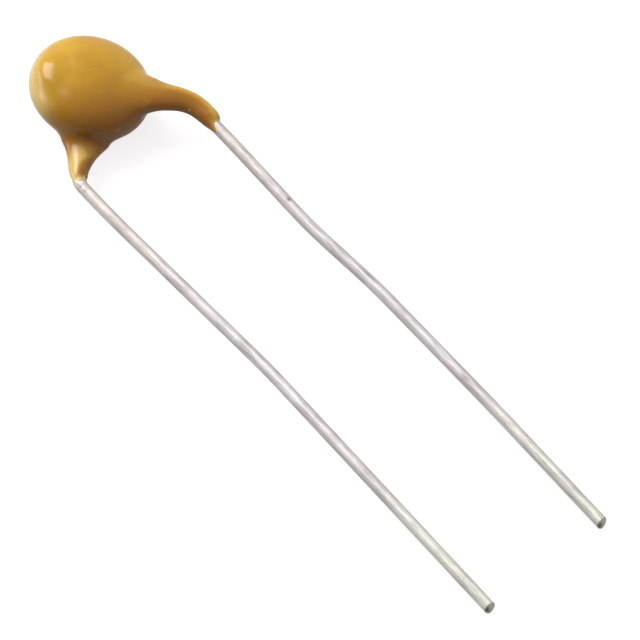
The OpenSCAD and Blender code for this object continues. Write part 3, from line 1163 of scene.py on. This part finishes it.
@dataclass
class Studio:
    """A pale table, a soft box above and behind, soft fill, and the camera."""

    azimuth: float = -40.62
    elevation: float = 58.73
    distance: float = 0.36
    focal_px: float = 8434.06
    frame_px: float = 640.0
    sensor: float = 36.0
    target: tuple[float, float, float] = (0.0004146, -0.0013513, 0.001)
    paper: tuple[float, float, float] = (1.0, 0.985, 1.0)
    mirrored: float = 0.42

    def axes(self) -> np.ndarray:
        """The view's right, up and back directions, from its azimuth and elevation."""
        a, e = math.radians(self.azimuth), math.radians(self.elevation)
        back = np.array([math.sin(a) * math.cos(e), -math.cos(a) * math.cos(e), math.sin(e)])
        right = np.array([math.cos(a), math.sin(a), 0.0])
        return np.array([right, np.cross(back, right), back])

    def place(self, thing: bpy.types.Object, way: np.ndarray, far: float, upright: np.ndarray) -> None:
        """Puts a lamp or the camera round the target and turns it towards it.

        Args:
            thing: What is placed.
            way: Its direction from the target.
            far: Its distance.
            upright: Where its own upward side points.
        """
        back = way / np.linalg.norm(way)
        right = np.cross(upright, back)
        right /= np.linalg.norm(right)
        thing.location = np.array(self.target) + far * back
        turn = np.column_stack([right, np.cross(back, right), back])
        thing.rotation_euler = Matrix(turn.tolist()).to_euler()

    def add_camera(self) -> None:
        """Makes the camera: the focal length is its length in pixels by the sensor's width."""
        data = bpy.data.cameras.new("camera")
        data.lens = self.focal_px / self.frame_px * self.sensor
        data.sensor_width = self.sensor
        data.clip_start = 0.01
        data.clip_end = 10.0
        camera = bpy.data.objects.new("camera", data)
        bpy.context.scene.collection.objects.link(camera)
        self.place(camera, self.axes()[2], self.distance, self.axes()[1])
        bpy.context.scene.camera = camera

    def add_lamp(
        self,
        name: str,
        way: tuple[float, float, float],
        tall: tuple[float, float, float],
        far: float,
        size: tuple[float, float],
        power: float,
    ) -> None:
        """Adds a soft box.

        Args:
            name: Its name.
            way: Its direction from the object, as shares of the view's right, up and back.
            tall: Direction of its height, in the same shares.
            far: Its distance.
            size: Its width and height.
            power: Its power in watts.
        """
        data = bpy.data.lights.new(name, "AREA")
        data.shape = "RECTANGLE"
        data.size, data.size_y = size
        data.energy = power
        lamp = bpy.data.objects.new(name, data)
        bpy.context.scene.collection.objects.link(lamp)
        self.place(lamp, np.array(way) @ self.axes(), far, np.array(tall) @ self.axes())

    def add_floor(self) -> None:
        """Adds the table top: dim for bounced light, white with a soft shadow for the eye."""
        mesh = bpy.data.meshes.new("table_top")
        half = 1.5
        corners = [(-half, -half, 0.0), (half, -half, 0.0), (half, half, 0.0), (-half, half, 0.0)]
        mesh.from_pydata(corners, [], [(0, 1, 2, 3)])
        floor = bpy.data.objects.new("table_top", mesh)
        bpy.context.scene.collection.objects.link(floor)
        material = bpy.data.materials.new("white_paper")
        material.use_nodes = True
        bench = NodeBench(material.node_tree)
        seen = self.background_share(bench)
        bounced = bench.add("ShaderNodeBsdfDiffuse")
        bounced.inputs["Color"].default_value = (0.35, 0.345, 0.35, 1.0)
        paper = bench.add("ShaderNodeBsdfDiffuse")
        paper.inputs["Color"].default_value = (0.36, 0.354, 0.36, 1.0)
        glow = bench.add("ShaderNodeEmission")
        glow.inputs["Color"].default_value = (*self.paper, 1.0)
        glow.inputs["Strength"].default_value = 0.79
        bright = bench.add("ShaderNodeAddShader")
        bench.join(paper.outputs[0], bright.inputs[0])
        bench.join(glow.outputs[0], bright.inputs[1])
        mixed = bench.add("ShaderNodeMixShader")
        bench.join(seen, mixed.inputs[0])
        bench.join(bounced.outputs[0], mixed.inputs[1])
        bench.join(bright.outputs[0], mixed.inputs[2])
        output = bench.add("ShaderNodeOutputMaterial")
        bench.join(mixed.outputs[0], output.inputs["Surface"])
        mesh.materials.append(material)

    def background_share(self, bench: NodeBench) -> bpy.types.NodeSocket:
        """How much of the white background a ray sees.

        Args:
            bench: The node tree that asks.

        Returns:
            All of it for the camera's own rays, and a set share for reflections and glass.
        """
        path = bench.add("ShaderNodeLightPath")
        glossy = bench.add("ShaderNodeMath", operation="MAXIMUM")
        bench.join(path.outputs["Is Glossy Ray"], glossy.inputs[0])
        bench.join(path.outputs["Is Transmission Ray"], glossy.inputs[1])
        part = bench.add("ShaderNodeMath", operation="MULTIPLY")
        part.inputs[1].default_value = self.mirrored
        bench.join(glossy.outputs[0], part.inputs[0])
        seen = bench.add("ShaderNodeMath", operation="MAXIMUM")
        bench.join(path.outputs["Is Camera Ray"], seen.inputs[0])
        bench.join(part.outputs[0], seen.inputs[1])
        return seen.outputs[0]

    def add_world(self) -> None:
        """Adds the surroundings: white to the eye, and light that falls off towards the camera."""
        world = bpy.data.worlds.new("studio")
        bpy.context.scene.world = world
        world.use_nodes = True
        bench = NodeBench(world.node_tree)
        place = bench.add("ShaderNodeTexCoord")
        right, up, back = self.axes()
        bright_way = bench.add("ShaderNodeVectorMath", operation="DOT_PRODUCT")
        direction = up + 0.1 * right
        bright_way.inputs[1].default_value = tuple(direction / np.linalg.norm(direction))
        bench.join(place.outputs["Generated"], bright_way.inputs[0])
        level = bench.spread(bright_way.outputs["Value"], -0.6, 0.8, 0.1, 1.0)
        tone = bench.mix(level, (0.0, 0.0, 0.0), self.paper)
        lit = bench.add("ShaderNodeBackground")
        lit.inputs["Strength"].default_value = 0.87
        bench.join(tone, lit.inputs["Color"])
        seen = bench.add("ShaderNodeBackground")
        seen.inputs["Color"].default_value = (*self.paper, 1.0)
        mixed = bench.add("ShaderNodeMixShader")
        bench.join(self.background_share(bench), mixed.inputs[0])
        bench.join(lit.outputs[0], mixed.inputs[1])
        bench.join(seen.outputs[0], mixed.inputs[2])
        output = bench.add("ShaderNodeOutputWorld")
        bench.join(mixed.outputs[0], output.inputs["Surface"])

    def build(self) -> None:
        """Sets up the whole studio."""
        bpy.context.scene.view_settings.view_transform = "Standard"
        self.add_camera()
        self.add_floor()
        self.add_world()
        self.add_lamp("soft_box", (-0.4, 0.86, 0.34), (-0.3, -0.43, 0.85), 0.5, (0.28, 0.44), 2.9)
        self.add_lamp("window", (-0.95, 0.27, 0.06), (0.0, 1.0, 0.0), 0.5, (0.26, 0.26), 0.8)


@dataclass
class Capacitor:
    """The whole part: the coat, its two wires and the CAD pieces sealed inside."""

    sizes: DiscSizes = field(default_factory=DiscSizes)

    def courses(self) -> tuple[WireCourse, WireCourse]:
        """The courses of both wires, as the CAD model has them."""
        front_arc = 1.65 * math.radians(41.0)
        front = WireCourse(
            Side.FRONT, self.sizes, 1.25, 41.0, 1.65, 0.9, front_arc + 0.95, 0.14, 0.1, 0.2, 0.5, 0.15,
            (Bow(0.08, 1.4), Bow(0.17, -5.0), Bow(0.12, 3.6), Bow(0.27, 1.0)), (Tongue(2.9, 0.6, 0.3),),
        )
        rear = WireCourse(
            Side.REAR, self.sizes, 0.95, 43.0, 0.9, 0.5, 0.05, 0.14, 0.0, 0.6, 0.6, 1.0,
            (Bow(0.07, 2.0), Bow(0.35, -2.9)), (Tongue(1.3, 1.6, 0.42), Tongue(2.7, 0.6, 0.75)),
        )
        return front, rear

    def build(self, nodes: dict[str, bpy.types.Object]) -> list[bpy.types.Object]:
        """Builds the new pieces, dresses them and the CAD nodes, and sets each on the body.

        Args:
            nodes: The CAD nodes by name.

        Returns:
            The new pieces.
        """
        front, rear = self.courses()
        resin = ResinFinish().material()
        tin = TinFinish().material()
        coat = ResinCoat(self.sizes, front, rear).build()
        front_nicks = (
            Nick(5.9, 1.76, 0.1, 0.35, 0.02, 0.7),
            Nick(11.0, 1.85, 0.6, 0.2, 0.014, 0.5),
            Nick(17.4, 1.2, 0.22, 0.4, 0.012, 0.25),
            Nick(18.0, 1.6, 0.5, 0.22, -0.008, 0.0),
        )
        rear_nicks = (
            Nick(-0.2, 2.4, 0.06, 0.2, -0.03, 0.0),
            Nick(0.0, 2.3, 0.06, 0.5, 0.01, 0.3),
            Nick(0.18, 2.2, 0.07, 0.2, -0.03, 0.0),
            Nick(11.4, 1.2, 0.35, 0.3, 0.012, 0.3),
            Nick(12.2, 0.6, 0.4, 0.3, 0.012, 0.3),
        )
        front_wire = Lead("front_wire", self.sizes, front, front_nicks).build()
        rear_wire = Lead("rear_wire", self.sizes, rear, rear_nicks).build()
        pieces = []
        for piece, node, slot, finish in (
            (coat, "coating", "resin_coat", resin),
            (front_wire, "front_lead", "tinned_wire", tin),
            (rear_wire, "rear_lead", "tinned_wire", tin),
        ):
            piece.data.materials.append(finish)
            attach(piece, "root")
            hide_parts(node)
            pieces.append(piece)
            LOG.info("%s: %d points", piece.name, len(piece.data.vertices))
        self.dress_inner(nodes)
        return pieces

    def dress_inner(self, nodes: dict[str, bpy.types.Object]) -> None:
        """Gives the sealed CAD pieces their finishes.

        Args:
            nodes: The CAD nodes by name.
        """
        ceramic = PlainFinish("fired_ceramic", shade(206, 192, 160), shade(184, 168, 136), 6000.0, 0.0, 0.6)
        silver = PlainFinish("fired_silver", shade(232, 231, 226), shade(208, 206, 200), 9000.0, 1.0, 0.4)
        solder = PlainFinish("solder", shade(196, 198, 200), shade(168, 170, 174), 3000.0, 1.0, 0.3)
        finishes = {
            "dielectric_disc": ceramic,
            "front_electrode": silver,
            "rear_electrode": silver,
            "front_solder": solder,
            "rear_solder": solder,
        }
        made = {finish.name: finish.material() for finish in (ceramic, silver, solder)}
        for name, finish in finishes.items():
            nodes[name].data.materials.clear()
            nodes[name].data.materials.append(made[finish.name])
            LOG.info("%s: %s", name, finish.name)


def main() -> None:
    """Builds the part and its studio."""
    logging.basicConfig(level=logging.INFO, format="%(name)s: %(message)s")
    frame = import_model()
    Studio().build()
    Capacitor().build(frame["nodes"])


if __name__ == "__main__":
    main()
